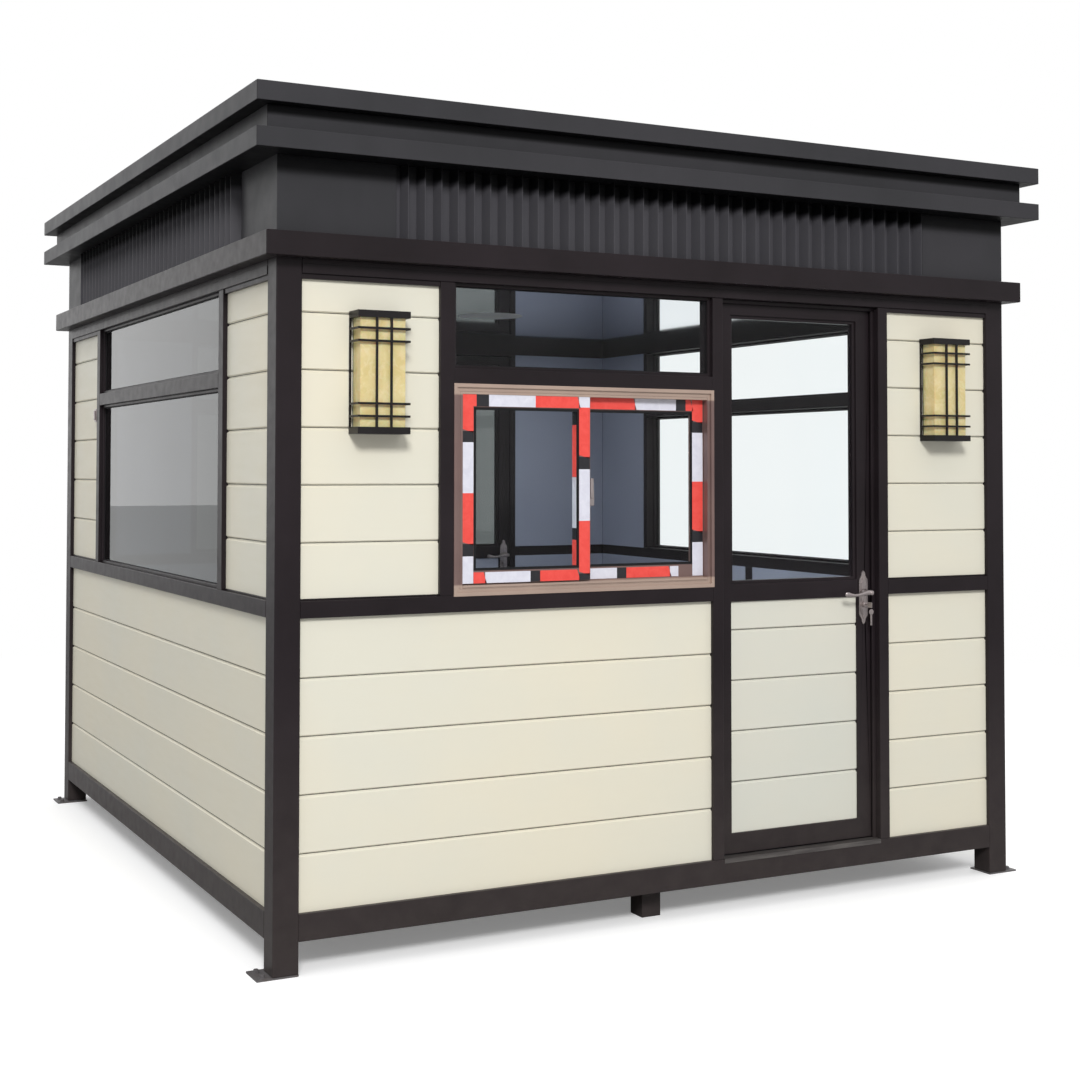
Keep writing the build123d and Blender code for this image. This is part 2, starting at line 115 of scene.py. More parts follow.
def add_world(horizon, zenith):
    """White where it is seen or reflected. As light it is a sky that is brighter overhead."""
    world = bpy.data.worlds.new("studio")
    world.use_nodes = True
    tree = world.node_tree
    tree.nodes.clear()
    glossy = tree.nodes.new("ShaderNodeLightPath").outputs["Is Glossy Ray"]
    seen = math_node(tree, "MAXIMUM", seen_share(tree), glossy)
    coords = tree.nodes.new("ShaderNodeTexCoord")
    parts = tree.nodes.new("ShaderNodeSeparateXYZ")
    tree.links.new(coords.outputs["Generated"], parts.inputs[0])
    sky = tree.nodes.new("ShaderNodeMapRange")
    sky.inputs["To Min"].default_value = horizon
    sky.inputs["To Max"].default_value = zenith
    tree.links.new(parts.outputs["Z"], sky.inputs["Value"])
    unseen = math_node(tree, "SUBTRACT", 1.0, seen)
    lit = math_node(tree, "MULTIPLY", sky.outputs["Result"], unseen)
    shade = tree.nodes.new("ShaderNodeBackground")
    shade.inputs["Color"].default_value = (1.0, 1.0, 1.0, 1.0)
    tree.links.new(math_node(tree, "ADD", seen, lit), shade.inputs["Strength"])
    out = tree.nodes.new("ShaderNodeOutputWorld")
    tree.links.new(shade.outputs[0], out.inputs["Surface"])
    bpy.context.scene.world = world


# ---------------------------------------------------------------- materials


def srgb(red, green, blue):
    """A colour given as 0 to 255 levels, as linear light."""
    levels = []
    for value in (red, green, blue):
        v = value / 255.0
        levels.append(v / 12.92 if v <= 0.04045 else ((v + 0.055) / 1.055) ** 2.4)
    return tuple(levels) + (1.0,)


# a Mix node's colour sockets share their names with its other ones
COLOUR_INPUTS, COLOUR_OUTPUT = (6, 7), 2


class Surface:
    """A node material that is built step by step."""

    def __init__(self, name, roughness=0.5, metallic=0.0, **sockets):
        self.material = bpy.data.materials.new(name)
        self.material.use_nodes = True
        self.tree = self.material.node_tree
        self.shader = self.tree.nodes["Principled BSDF"]
        self.out = self.tree.nodes["Material Output"]
        self.shader.inputs["Roughness"].default_value = roughness
        self.shader.inputs["Metallic"].default_value = metallic
        for key, value in sockets.items():
            socket = key.replace("_", " ").title().replace("Ior", "IOR")
            self.shader.inputs[socket].default_value = value
        self.coords = self.node("ShaderNodeTexCoord").outputs["Object"]

    def node(self, kind, **settings):
        made = self.tree.nodes.new(kind)
        for key, value in settings.items():
            setattr(made, key, value)
        return made

    def link(self, source, target):
        self.tree.links.new(source, target)

    def math(self, operation, first, second=0.0):
        return math_node(self.tree, operation, first, second)

    def stretched(self, scale):
        made = self.node("ShaderNodeMapping")
        made.inputs["Scale"].default_value = scale
        self.link(self.coords, made.inputs["Vector"])
        return made.outputs[0]

    def noise(self, scale, detail=4.0, rough=0.55, stretch=None, distortion=0.0):
        made = self.node("ShaderNodeTexNoise")
        made.inputs["Scale"].default_value = scale
        made.inputs["Detail"].default_value = detail
        made.inputs["Roughness"].default_value = rough
        made.inputs["Distortion"].default_value = distortion
        self.link(self.stretched(stretch) if stretch else self.coords, made.inputs["Vector"])
        return made.outputs["Fac"]

    def band(self, value, low, high, to_low=0.0, to_high=1.0):
        """Maps low to high onto to_low to to_high, and stops there."""
        made = self.node("ShaderNodeMapRange")
        made.inputs["From Min"].default_value = low
        made.inputs["From Max"].default_value = high
        made.inputs["To Min"].default_value = to_low
        made.inputs["To Max"].default_value = to_high
        feed(self.tree, value, made.inputs["Value"])
        return made.outputs["Result"]

    def blend(self, share, first, second):
        made = self.node("ShaderNodeMix", data_type="RGBA")
        feed(self.tree, share, made.inputs["Factor"])
        for value, socket in zip((first, second), COLOUR_INPUTS):
            feed(self.tree, value, made.inputs[socket])
        return made.outputs[COLOUR_OUTPUT]

    def mottled(self, pattern, first, second, low=0.3, high=0.7):
        """Goes from one colour to another, both in 0 to 255 levels, as the pattern rises."""
        return self.blend(self.band(pattern, low, high), srgb(*first), srgb(*second))

    def axis(self, name, source=None):
        made = self.node("ShaderNodeSeparateXYZ")
        self.link(source or self.coords, made.inputs[0])
        return made.outputs[name]

    def colour(self, value):
        feed(self.tree, value, self.shader.inputs["Base Color"])

    def roughness(self, value):
        feed(self.tree, value, self.shader.inputs["Roughness"])

    def bump(self, height, strength=0.2, distance=0.001):
        made = self.node("ShaderNodeBump")
        made.inputs["Strength"].default_value = strength
        made.inputs["Distance"].default_value = distance
        self.link(height, made.inputs["Height"])
        self.link(made.outputs["Normal"], self.shader.inputs["Normal"])

    def mix_in(self, share, other):
        """Shows another shader in this one's place, by share."""
        mixed = self.node("ShaderNodeMixShader")
        for source, target in zip((share, self.shader.outputs[0], other.outputs[0]), mixed.inputs):
            self.link(source, target)
        self.link(mixed.outputs[0], self.out.inputs["Surface"])


def frame_paint():
    made = Surface("frame_paint", roughness=0.36, specular_ior_level=0.13)
    tone = made.mottled(made.noise(3.0, 5.0), (30, 25, 27), (38, 32, 35))
    dust = made.band(made.axis("Z"), 0.0, 0.9, 0.6, 0.0)
    fine = made.band(made.noise(14.0, 6.0), 0.3, 0.7, 0.42, 0.68)
    tone = made.blend(made.math("MULTIPLY", dust, fine), tone, srgb(86, 79, 76))
    made.colour(tone)
    made.roughness(made.band(made.noise(22.0, 4.0), 0.2, 0.8, 0.28, 0.42))
    made.bump(made.noise(420.0, 3.0), 0.12, 0.0006)
    return made.material


# how far down the painted shade reaches under the lower cornice and under the top cornice
EAVES_SHADE, CROWN_SHADE = 0.062, 0.034


def roof_paint(name, first, second, left):
    """Charcoal, with painted shade: near-black under both cornices, in place of the shadow they cast. left is how
    much of that painted shade the faces turned to the left get.
    """
    made = Surface(name, roughness=0.42, specular_ior_level=0.1)
    tone = made.mottled(made.noise(1.7, 5.0), first, second)
    streak = made.band(made.noise(9.0, 4.0, stretch=(1.0, 1.0, 0.12)), 0.42, 0.75)
    tone = made.blend(made.math("MULTIPLY", streak, 0.15), tone, srgb(64, 63, 67))
    height = made.axis("Z")
    normal = made.node("ShaderNodeTexCoord").outputs["Normal"]
    eaves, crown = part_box("lower_cornice")[0].z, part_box("top_cornice")[0].z
    # painted shade: a near-black strip just under each cornice, standing in for the cornices' shadow
    painted_shade = 0.0
    for edge, deep in ((eaves, EAVES_SHADE), (crown, CROWN_SHADE)):
        near = made.band(height, edge - deep, edge - 0.6 * deep)
        below = made.math("LESS_THAN", height, edge + 0.0005)
        painted_shade = made.math("MAXIMUM", painted_shade, made.math("MULTIPLY", near, below))
    # the painted shade is weaker on faces turned to the left, by how the light falls there
    painted_shade_by_facing = made.band(made.axis("X", normal), -0.9, -0.5, left, 1.0)
    tone = made.blend(made.math("MULTIPLY", painted_shade, painted_shade_by_facing), tone, srgb(13, 13, 15))
    made.colour(tone)
    made.roughness(made.band(made.noise(12.0, 4.0), 0.2, 0.8, 0.34, 0.48))
    made.bump(made.noise(2.2, 2.0), 0.25, 0.006)
    return made.material


def roof_sheet():
    return roof_paint("roof_sheet", (50, 50, 52), (58, 57, 60), 0.15)


def flute_sheet():
    return roof_paint("flute_sheet", (66, 65, 69), (73, 72, 76), 1.0)


def inside_share(made, reach):
    """1 on the faces inside the room."""
    across = made.math("ABSOLUTE", made.axis("X"))
    along = made.math("ABSOLUTE", made.axis("Y"))
    return made.math("LESS_THAN", made.math("MAXIMUM", across, along), reach)


LINING_TONES = (154, 161, 180), (161, 168, 187)


def board_paint(name, inner_reach, warm, cool):
    """Cream outside, and the room's blue-grey on faces nearer the middle than inner_reach."""
    made = Surface(name, roughness=0.45, specular_ior_level=0.35)
    tone = made.mottled(made.noise(1.3, 4.0), warm, cool, 0.35, 0.65)
    streak = made.noise(7.0, 7.0, stretch=(1.0, 1.0, 6.0))
    tone = made.blend(made.band(streak, 0.5, 0.85, 0.0, 0.12), tone, srgb(214, 208, 188))
    lining = made.mottled(made.noise(2.0), *LINING_TONES)
    made.colour(made.blend(inside_share(made, inner_reach), tone, lining))
    made.roughness(made.band(streak, 0.3, 0.7, 0.4, 0.54))
    made.bump(made.noise(260.0, 4.0, stretch=(1.0, 1.0, 2.5)), 0.08, 0.0005)
    return made.material


def cream_boards():
    return board_paint("cream_boards", 1.447, (222, 216, 197), (217, 214, 199))


def door_boards():
    return board_paint("door_boards", 1.43, (213, 210, 197), (208, 208, 197))


def lining_board():
    made = Surface("lining_board", roughness=0.5, specular_ior_level=0.3)
    made.colour(made.mottled(made.noise(2.0), *LINING_TONES))
    made.bump(made.noise(200.0, 3.0), 0.08, 0.0005)
    return made.material


def pane_glass(name, ior, first, second):
    """Glass that lets the lamps' light straight through."""
    made = Surface(name, roughness=0.0, transmission_weight=1.0, ior=ior)
    haze = made.band(made.noise(1.2, 3.0, stretch=(1.0, 1.0, 0.15)), 0.3, 0.7)
    made.colour(made.blend(haze, first, second))
    open_air = made.node("ShaderNodeBsdfTransparent")
    open_air.inputs["Color"].default_value = (0.93, 0.95, 0.945, 1.0)
    made.mix_in(made.node("ShaderNodeLightPath").outputs["Is Shadow Ray"], open_air)
    return made.material


def clear_glass():
    return pane_glass("clear_glass", 1.16, (0.93, 0.96, 0.965, 1.0), (0.95, 0.97, 0.97, 1.0))


def side_glass():
    """Glass tinted dark grey, on the left and at the back. The tint is painted shade and reflection: it stands in
    for the dark room and the grey surroundings mirrored in these panes.
    """
    return pane_glass("side_glass", 1.43, (0.11, 0.122, 0.122, 1.0), (0.15, 0.163, 0.16, 1.0))


def window_aluminium():
    """Champagne, paler along the head and the sill."""
    made = Surface("window_aluminium", roughness=0.4, metallic=0.3, specular_ior_level=0.4)
    cloud = made.noise(5.0, 4.0)
    low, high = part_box("service_window_frame")
    height = made.axis("Z")
    jambs = made.mottled(cloud, (112, 91, 88), (126, 103, 98))
    paler = made.mottled(cloud, (166, 145, 133), (177, 155, 141))
    upper = made.band(height, high.z - 0.036, high.z - 0.030)
    lower = made.band(height, low.z + 0.030, low.z + 0.036, 1.0, 0.0)
    made.colour(made.blend(made.math("MAXIMUM", upper, lower), jambs, paler))
    drawn = made.noise(30.0, 3.0, stretch=(1.0, 1.0, 0.2))
    made.roughness(made.band(drawn, 0.2, 0.8, 0.32, 0.46))
    made.bump(made.noise(500.0, 2.0), 0.06, 0.0004)
    return made.material


def tape(name, first, second):
    """Plastic protective film, a little crinkled."""
    made = Surface(name, roughness=0.42, specular_ior_level=0.4)
    crinkle = made.noise(38.0, 4.0, distortion=0.8)
    made.colour(made.mottled(crinkle, first, second))
    made.bump(crinkle, 0.25, 0.0012)
    return made.material


# dark rubber for the seals; its colour also makes the painted shade in the board grooves
def rubber():
    made = Surface("rubber", roughness=0.6, specular_ior_level=0.2)
    made.colour(made.blend(made.noise(60.0), srgb(18, 18, 20), srgb(26, 26, 28)))
    made.bump(made.noise(400.0), 0.1, 0.0004)
    return made.material


def floor_board():
    made = Surface("floor_board", roughness=0.55, specular_ior_level=0.3)
    grain = made.noise(5.0, 8.0, 0.6, stretch=(9.0, 0.8, 1.0), distortion=0.6)
    made.colour(made.mottled(grain, (104, 97, 90), (126, 119, 110)))
    made.bump(grain, 0.15, 0.001)
    return made.material


def ceiling_sheet():
    """Polished, so that it mirrors the room."""
    made = Surface("ceiling_sheet", roughness=0.05, metallic=0.96)
    made.colour(made.mottled(made.noise(3.0), (232, 234, 240), (240, 241, 246)))
    made.roughness(made.band(made.noise(5.0), 0.3, 0.7, 0.04, 0.07))
    return made.material


def steel_plate():
    made = Surface("steel_plate", roughness=0.5, metallic=0.2, specular_ior_level=0.3)
    rust = made.band(made.noise(30.0, 6.0), 0.5, 0.7)
    tone = made.mottled(made.noise(8.0), (92, 89, 90), (106, 103, 104))
    made.colour(made.blend(made.math("MULTIPLY", rust, 0.4), tone, srgb(84, 66, 54)))
    made.bump(made.noise(120.0, 5.0), 0.25, 0.001)
    return made.material


def threshold_metal():
    made = Surface("threshold_metal", roughness=0.4, metallic=0.6)
    scuff = made.noise(16.0, 6.0, stretch=(0.4, 6.0, 6.0))
    made.colour(made.mottled(scuff, (84, 80, 79), (112, 108, 105), 0.35, 0.7))
    made.roughness(made.band(scuff, 0.3, 0.7, 0.32, 0.5))
    return made.material


def lamp_metal():
    made = Surface("lamp_metal", roughness=0.38, specular_ior_level=0.25)
    made.colour(made.mottled(made.noise(12.0), (17, 14, 15), (24, 21, 22)))
    made.bump(made.noise(500.0, 3.0), 0.15, 0.0004)
    return made.material


def lamp_shade():
    made = Surface("lamp_shade", roughness=0.3, subsurface_weight=0.25, specular_ior_level=0.4)
    vein = made.noise(9.0, 8.0, 0.6, distortion=1.6)
    tone = made.mottled(vein, (218, 202, 152), (206, 188, 130), 0.35, 0.65)
    line = made.band(made.noise(17.0, 6.0, 0.65, distortion=2.4), 0.5, 0.56)
    tone = made.blend(made.math("MULTIPLY", line, 0.2), tone, srgb(232, 222, 190))
    made.colour(tone)
    return made.material


def ceiling_light():
    made = Surface("ceiling_light", roughness=0.4)
    made.colour(made.mottled(made.noise(8.0), (240, 240, 236), (232, 232, 230)))
    return made.material


def handle_nickel():
    made = Surface("handle_nickel", roughness=0.3, metallic=0.9)
    made.colour(made.mottled(made.noise(40.0), (150, 142, 142), (170, 160, 158)))
    brushed = made.noise(300.0, 3.0, stretch=(1.0, 1.0, 0.1))
    made.roughness(made.band(brushed, 0.2, 0.8, 0.22, 0.4))
    return made.material


made_finish = dict(
    frame_paint=frame_paint(), roof_sheet=roof_sheet(), cream_boards=cream_boards(),
    clear_glass=clear_glass(), window_aluminium=window_aluminium(), floor_board=floor_board(),
    ceiling_sheet=ceiling_sheet(), steel_plate=steel_plate(), lamp_metal=lamp_metal(),
    lamp_shade=lamp_shade(), ceiling_light=ceiling_light(), handle_nickel=handle_nickel(),
    door_boards=door_boards(), side_glass=side_glass(), flute_sheet=flute_sheet(),
    lining_board=lining_board(), rubber=rubber(), threshold_metal=threshold_metal(),
    tape_red=tape("tape_red", (224, 70, 62), (232, 84, 76)),
    tape_white=tape("tape_white", (206, 206, 218), (218, 218, 228)),
    tape_black=tape("tape_black", (24, 24, 28), (34, 33, 38)),
)

# nodes with a finish other than their slot's
OWN_FINISH = dict(
    front_door_boards="door_boards", back_door_boards="door_boards",
    left_window_glass="side_glass", back_window_glass="side_glass", back_door_glass="side_glass",
    fluted_frieze="flute_sheet",
)

# how far the edges of a sharp-edged slot's nodes are rounded, where it isn't USUAL_ROUND
SHARP_SLOTS = ("frame_paint", "roof_sheet", "lamp_metal")
USUAL_ROUND = 0.0014
ROUNDED = dict(
    corner_posts=0.003, ledge=0.0025, lower_cornice=0.002, top_cornice=0.002, cornice_neck=0.002,
    fluted_frieze=0.0004, lamp_cages=0.0008, front_door_leaf=0.0022, back_door_leaf=0.0022,
    front_door_lining=0.0018, back_door_lining=0.0018, door_posts=0.0025, window_mullions=0.002,
    sill_rails=0.002, transom_rails=0.002, base_beams=0.002,
    front_hinge_pins=0.0, back_hinge_pins=0.0, front_hinge_knuckles=0.0, back_hinge_knuckles=0.0,
)


WELD_GAP = 0.00005
SHARP_ANGLE = math.radians(32.0)


def soften(thing, width):
    """Rounds the sharp edges a little."""
    weld = thing.modifiers.new("weld", "WELD")
    weld.merge_threshold = WELD_GAP
    bevel = thing.modifiers.new("bevel", "BEVEL")
    bevel.width, bevel.segments = width, 2
    bevel.limit_method, bevel.angle_limit = "ANGLE", SHARP_ANGLE


for part in frame["record"]["subparts"]:
    name, slot = part["node"], part["material_slot"]
    node = frame["nodes"][name]
    node.data.materials.clear()
    node.data.materials.append(made_finish[OWN_FINISH.get(name, slot)])
    width = ROUNDED.get(name, USUAL_ROUND) if slot in SHARP_SLOTS else 0.0
    if width > 0.0:
        soften(node, width)

# ---------------------------------------------------------------- making pieces

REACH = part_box("corner_posts")[1].x


def on_wall(wall, along, inset, z):
    """A point of a wall: along it, in from its outer plane, and up."""
    if wall == "front":
        return (along, inset - REACH, z)
    if wall == "back":
        return (along, REACH - inset, z)
    if wall == "left":
        return (inset - REACH, along, z)
    return (REACH - inset, along, z)


def piece(name, points, faces, finishes, slot, body="booth", round_=0.0, smooth=False,
          indices=None):
    """A mesh that rides on a body. indices say which finish each face has, if there are several."""
    mesh = bpy.data.meshes.new(name)
    mesh.from_pydata(points, [], faces)
    for finish in finishes:
        mesh.materials.append(made_finish[finish])
    if indices:
        mesh.polygons.foreach_set("material_index", indices)
    shape = bmesh.new()
    shape.from_mesh(mesh)
    bmesh.ops.recalc_face_normals(shape, faces=shape.faces)
    shape.to_mesh(mesh)
    shape.free()
    if smooth:
        mesh.polygons.foreach_set("use_smooth", [True] * len(mesh.polygons))
    made = bpy.data.objects.new(name, mesh)
    bpy.context.scene.collection.objects.link(made)
    if round_ > 0.0:
        soften(made, round_)
    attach(made, body)
    return made


def block(low, high):
    """The corners and faces of a box."""
    points = list(itertools.product(*zip(low, high)))
    faces = [(0, 1, 3, 2), (4, 6, 7, 5), (0, 4, 5, 1), (2, 3, 7, 6), (0, 2, 6, 4), (1, 5, 7, 3)]
    return points, faces


def merged(shapes):
    """Several shapes as one list of points and one of faces."""
    points, faces = [], []
    for more_points, more_faces in shapes:
        start = len(points)
        points += more_points
        faces += [tuple(start + i for i in face) for face in more_faces]
    return points, faces


def bars(wall, spans):
    """Boxes on a wall, each given as along, along, inset, inset, z, z."""
    shapes = []
    for a_0, a_1, in_0, in_1, z_0, z_1 in spans:
        first, last = on_wall(wall, a_0, in_0, z_0), on_wall(wall, a_1, in_1, z_1)
        low = tuple(min(p) for p in zip(first, last))
        high = tuple(max(p) for p in zip(first, last))
        shapes.append(block(low, high))
    return merged(shapes)


def ring(wall, a_0, a_1, z_0, z_1, profile):
    """A closed profile, points of distance from the opening's edge and inset, led round it."""
    points, faces, count = [], [], len(profile)
    for side_a, side_z in ((-1, -1), (1, -1), (1, 1), (-1, 1)):
        for edge, inset in profile:
            along = a_0 + edge if side_a < 0 else a_1 - edge
            z = z_0 + edge if side_z < 0 else z_1 - edge
            points.append(on_wall(wall, along, inset, z))
    for corner in range(4):
        after = (corner + 1) % 4
        for i in range(count):
            j = (i + 1) % count
            faces.append((corner * count + i, corner * count + j,
                          after * count + j, after * count + i))
    return points, faces


def section(edge_0, edge_1, inset_0, inset_1):
    """A rectangular profile for ring."""
    return [(edge_0, inset_0), (edge_1, inset_0), (edge_1, inset_1), (edge_0, inset_1)]


def oval(sides, wide, tall):
    """Points round an oval, from its middle."""
    turns = [2 * math.pi * k / sides for k in range(sides)]
    return [(wide * math.cos(turn), tall * math.sin(turn)) for turn in turns]


def skin(rings, sides):
    """The faces from each ring of points to the next, and over the first and the last."""
    faces, last = [], (rings - 1) * sides
    for start in range(0, last, sides):
        for k in range(sides):
            n = (k + 1) % sides
            faces.append((start + k, start + n, start + sides + n, start + sides + k))
    return faces + [tuple(range(sides)), tuple(range(last, last + sides))]


def lathe(centre, stations, sides=28):
    """A turned shape about the Y axis: stations are (radius, y)."""
    points = [(centre[0] + u, y, centre[1] + v)
              for radius, y in stations for u, v in oval(sides, radius, radius)]
    return points, skin(len(stations), sides)


def prism(outline, centre, y_0, y_1):
    """An outline in the plane of the front, drawn out along the Y axis."""
    points = [(centre[0] + u, y, centre[1] + v) for y in (y_0, y_1) for u, v in outline]
    return points, skin(2, len(outline))


# ---------------------------------------------------------------- service window

window_low, window_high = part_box("service_window_frame")
X_0, X_1, Z_0, Z_1 = window_low.x, window_high.x, window_low.z, window_high.z
LEFT_JAMB, RIGHT_JAMB, HEAD, SILL = 0.030, 0.022, 0.031, 0.036
TRACK = (X_0 + LEFT_JAMB, X_1 - RIGHT_JAMB)
SASH_Z = (Z_0 + SILL, Z_1 - HEAD)
STILE = 0.049
LEFT_SASH = (TRACK[0], X_0 + 0.514)
RIGHT_SASH = (X_0 + 0.469, TRACK[1])
FRONT_TRACK, REAR_TRACK, SASH_DEPTH = 0.006, 0.030, 0.022
SASHES = ((LEFT_SASH, FRONT_TRACK), (RIGHT_SASH, REAR_TRACK))
FRAME_FACE, REAR_SILL, FRAME_BACK = 0.004, 0.0285, 0.082


def window_frame():
    """Jambs, head and a stepped sill with a drip lip, and a moulding round the outside."""
    shapes = [
        bars("front", [
            (X_0, TRACK[0], FRAME_FACE, FRAME_BACK, Z_0, Z_1),
            (TRACK[1], X_1, FRAME_FACE, FRAME_BACK, Z_0, Z_1),
            (*TRACK, FRAME_FACE, FRAME_BACK, SASH_Z[1], Z_1),
            (*TRACK, REAR_SILL, FRAME_BACK, Z_0, SASH_Z[0]),
            (*TRACK, FRAME_FACE, REAR_SILL, Z_0, SASH_Z[0] - 0.006),
            (TRACK[0] + 0.001, TRACK[1] - 0.001, 0.0015, 0.0045,
             SASH_Z[0] - 0.012, SASH_Z[0] - 0.004),
        ]),
        ring("front", X_0, X_1, Z_0, Z_1, section(-0.0035, 0.009, -0.0028, 0.0042)),
        ring("front", X_0, X_1, Z_0, Z_1, section(0.0205, 0.0222, 0.0022, 0.0042)),
    ]
    made = piece("service_frame_profile", *merged(shapes), ["window_aluminium"], "window_aluminium",
                 round_=0.0007)
    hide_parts("service_window_frame")


def window_sashes():
    """Two sashes in two tracks, each with a seal and a pane."""
    shapes, seals, panes = [], [], []
    for (a_0, a_1), inset in SASHES:
        deep = inset + SASH_DEPTH
        shapes.append(ring("front", a_0, a_1, *SASH_Z, [
            (0.0, inset), (STILE - 0.009, inset), (STILE - 0.007, inset + 0.003),
            (STILE, inset + 0.003), (STILE, deep), (0.0, deep),
        ]))
        seals.append(ring("front", a_0, a_1, *SASH_Z, section(
            STILE - 0.0065, STILE + 0.002, inset + 0.0022, inset + 0.0065)))
        edge = STILE - 0.001
        panes.append((a_0 + edge, a_1 - edge, inset + 0.0085, inset + 0.0135,
                      SASH_Z[0] + edge, SASH_Z[1] - edge))
    made = piece("sash_profiles", *merged(shapes), ["window_aluminium"], "window_aluminium",
                 round_=0.0006)
    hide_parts("window_sash_left", "window_sash_right")
    piece("sash_seals", *merged(seals), ["rubber"], "window_aluminium")
    made = piece("sash_glass", *bars("front", panes), ["clear_glass"], "clear_glass")
    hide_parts("sash_panes")


RED, WHITE, BLACK = 0, 1, 2
TAPE_FACE, TAPE_BED, TAPE_SLANT = 0.0004, 0.0002, 0.006
TAPE_WIDE, TAPE_LOW = 0.039, 0.036


def window_tape():
    """Protective film on the sashes: plain lengths of red, white and black."""
    points, faces, kinds = [], [], []

    def add(kind, more_points, more_faces):
        start = len(points)
        points.extend(more_points)
        faces.extend(tuple(start + i for i in face) for face in more_faces)
        kinds.extend([kind] * len(more_faces))

    def length(kind, upright, start, end, cross_0, cross_1, inset, slant=0.0):
        """One length of a strip. slant leans its end over."""
        corners = ((start, cross_0), (end + slant, cross_0),
                   (end - slant, cross_1), (start, cross_1))
        places = [(cross, run) if upright else (run, cross) for run, cross in corners]
        depths = inset - TAPE_FACE, inset + TAPE_BED
        add(kind, [on_wall("front", along, depth, z) for depth in depths for along, z in places],
            skin(2, 4))

    def lengths(upright, cross_0, cross_1, inset, start, marks):
        """A strip of several lengths from start on: marks say what each is and where it ends."""
        for kind, end in marks:
            slant = TAPE_SLANT if kind == RED else 0.0
            length(kind, upright, start, end, cross_0, cross_1, inset, slant)
            start = end

    low, top = SASH_Z
    foot = low + 0.001
    upper, lower = (top - TAPE_WIDE, top), (foot, foot + TAPE_LOW)
    a, b, c = X_0, LEFT_SASH[1], RIGHT_SASH[0]
    lengths(False, *upper, FRONT_TRACK, a + 0.081,
            [(BLACK, a + 0.127), (WHITE, a + 0.302), (RED, a + 0.470)])
    lengths(True, a + 0.031, a + 0.031 + TAPE_WIDE, FRONT_TRACK, top,
            [(RED, top - 0.121), (BLACK, top - 0.158), (WHITE, top - 0.325), (RED, top - 0.491),
             (BLACK, top - 0.532), (WHITE, foot)])
    length(RED, False, a + 0.070, a + 0.081, *upper, FRONT_TRACK)
    lengths(True, b - 0.044, b - 0.002, FRONT_TRACK, top,
            [(WHITE, top - 0.036), (RED, top - 0.204), (BLACK, top - 0.246), (WHITE, top - 0.421),
             (RED, top - 0.599), (BLACK, foot)])
    lengths(False, *lower, FRONT_TRACK, a + 0.071,
            [(RED, a + 0.114), (WHITE, a + 0.283), (BLACK, a + 0.320), (RED, a + 0.468)])
    lengths(True, c + 0.001, c + 0.040, REAR_TRACK, top,
            [(BLACK, top - 0.080), (RED, top - 0.273), (WHITE, top - 0.446), (BLACK, top - 0.486),
             (RED, foot)])
    lengths(False, *upper, REAR_TRACK, a + 0.510,
            [(RED, a + 0.708), (WHITE, a + 0.877), (BLACK, a + 0.918), (RED, a + 0.944)])
    lengths(True, TRACK[1] - 0.047, TRACK[1] - 0.003, REAR_TRACK, top,
            [(RED, top - 0.078), (BLACK, top - 0.116), (WHITE, top - 0.289), (RED, top - 0.464),
             (BLACK, top - 0.503), (WHITE, foot)])
    lengths(False, *lower, REAR_TRACK, a + 0.514,
            [(WHITE, a + 0.634), (BLACK, a + 0.672), (RED, a + 0.851), (WHITE, a + 0.886)])

    # the film's turned edges, on the sides of the meeting stiles
    for side, track in ((b - STILE, FRONT_TRACK), (c, REAR_TRACK)):
        start = top - 0.041
        for kind, end in ((BLACK, top - 0.095), (RED, top - 0.273), (WHITE, top - 0.446),
                          (BLACK, top - 0.486), (RED, low + 0.040)):
            add(kind, *bars("front", [(side - 0.0007, side - 0.0002, track + 0.0035,
                                       track + SASH_DEPTH - 0.001, end, start)]))
            start = end
    piece("sash_tape", points, faces, ["tape_red", "tape_white", "tape_black"], "window_aluminium",
          indices=kinds)


def window_latch():
    """The catch where the sashes meet."""
    middle = (SASH_Z[0] + SASH_Z[1]) / 2
    edge = LEFT_SASH[1]
    shapes = [bars("front", [
        (edge + 0.001, edge + 0.013, 0.004, 0.022, middle - 0.034, middle + 0.034),
        (edge + 0.002, edge + 0.018, 0.010, 0.017, middle - 0.060, middle - 0.006),
    ])]
    piece("sash_latch", *merged(shapes), ["handle_nickel"], "handle_nickel", round_=0.0015)


window_frame()
window_sashes()
window_tape()
window_latch()

# ---------------------------------------------------------------- beads and trims

WALLS = ("front", "back", "left", "right")
MULLION, LAP = 0.052, 0.030
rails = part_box("transom_rails")
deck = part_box("base_beams")[1].z
sill_low, sill_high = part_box("sill_rails")[0].z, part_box("sill_rails")[1].z
boards_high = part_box("window_mullions")[1].z
beam_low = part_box("top_beams")[0].z
ledge_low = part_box("ledge")[0].z
panels_x, panels_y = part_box("front_wall"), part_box("left_wall")
POST = REACH - panels_x[1].x
DOOR_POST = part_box("door_posts")[1].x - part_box("front_door_lining")[1].x
BOARD_FACE = panels_x[0].y + REACH
BOARD_PITCH = 0.181


def outer_inset(wall, low, high):
    """How far in from the outer plane a node of the front or back starts."""
    return low.y + REACH if wall == "front" else REACH - high.y


def door_span(wall):
    """Where the door's posts start and end, along the front or back."""
    low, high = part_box(wall + "_door_lining")
    return low.x - DOOR_POST, high.x + DOOR_POST


def board_runs(wall, beside_glass):
    """Where a wall has boards, along it: under the sill rail, or above it beside the glass."""
    if wall in ("front", "back"):
        near, far = door_span(wall)
        return [(panels_x[0].x, X_0 - MULLION if beside_glass else near), (far, panels_x[1].x)]
    if not beside_glass:
        return [(panels_y[0].y, panels_y[1].y)]
    low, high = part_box(wall + "_window_glass")
    return [(panels_y[0].y, low.y - MULLION), (high.y + MULLION, panels_y[1].y)]


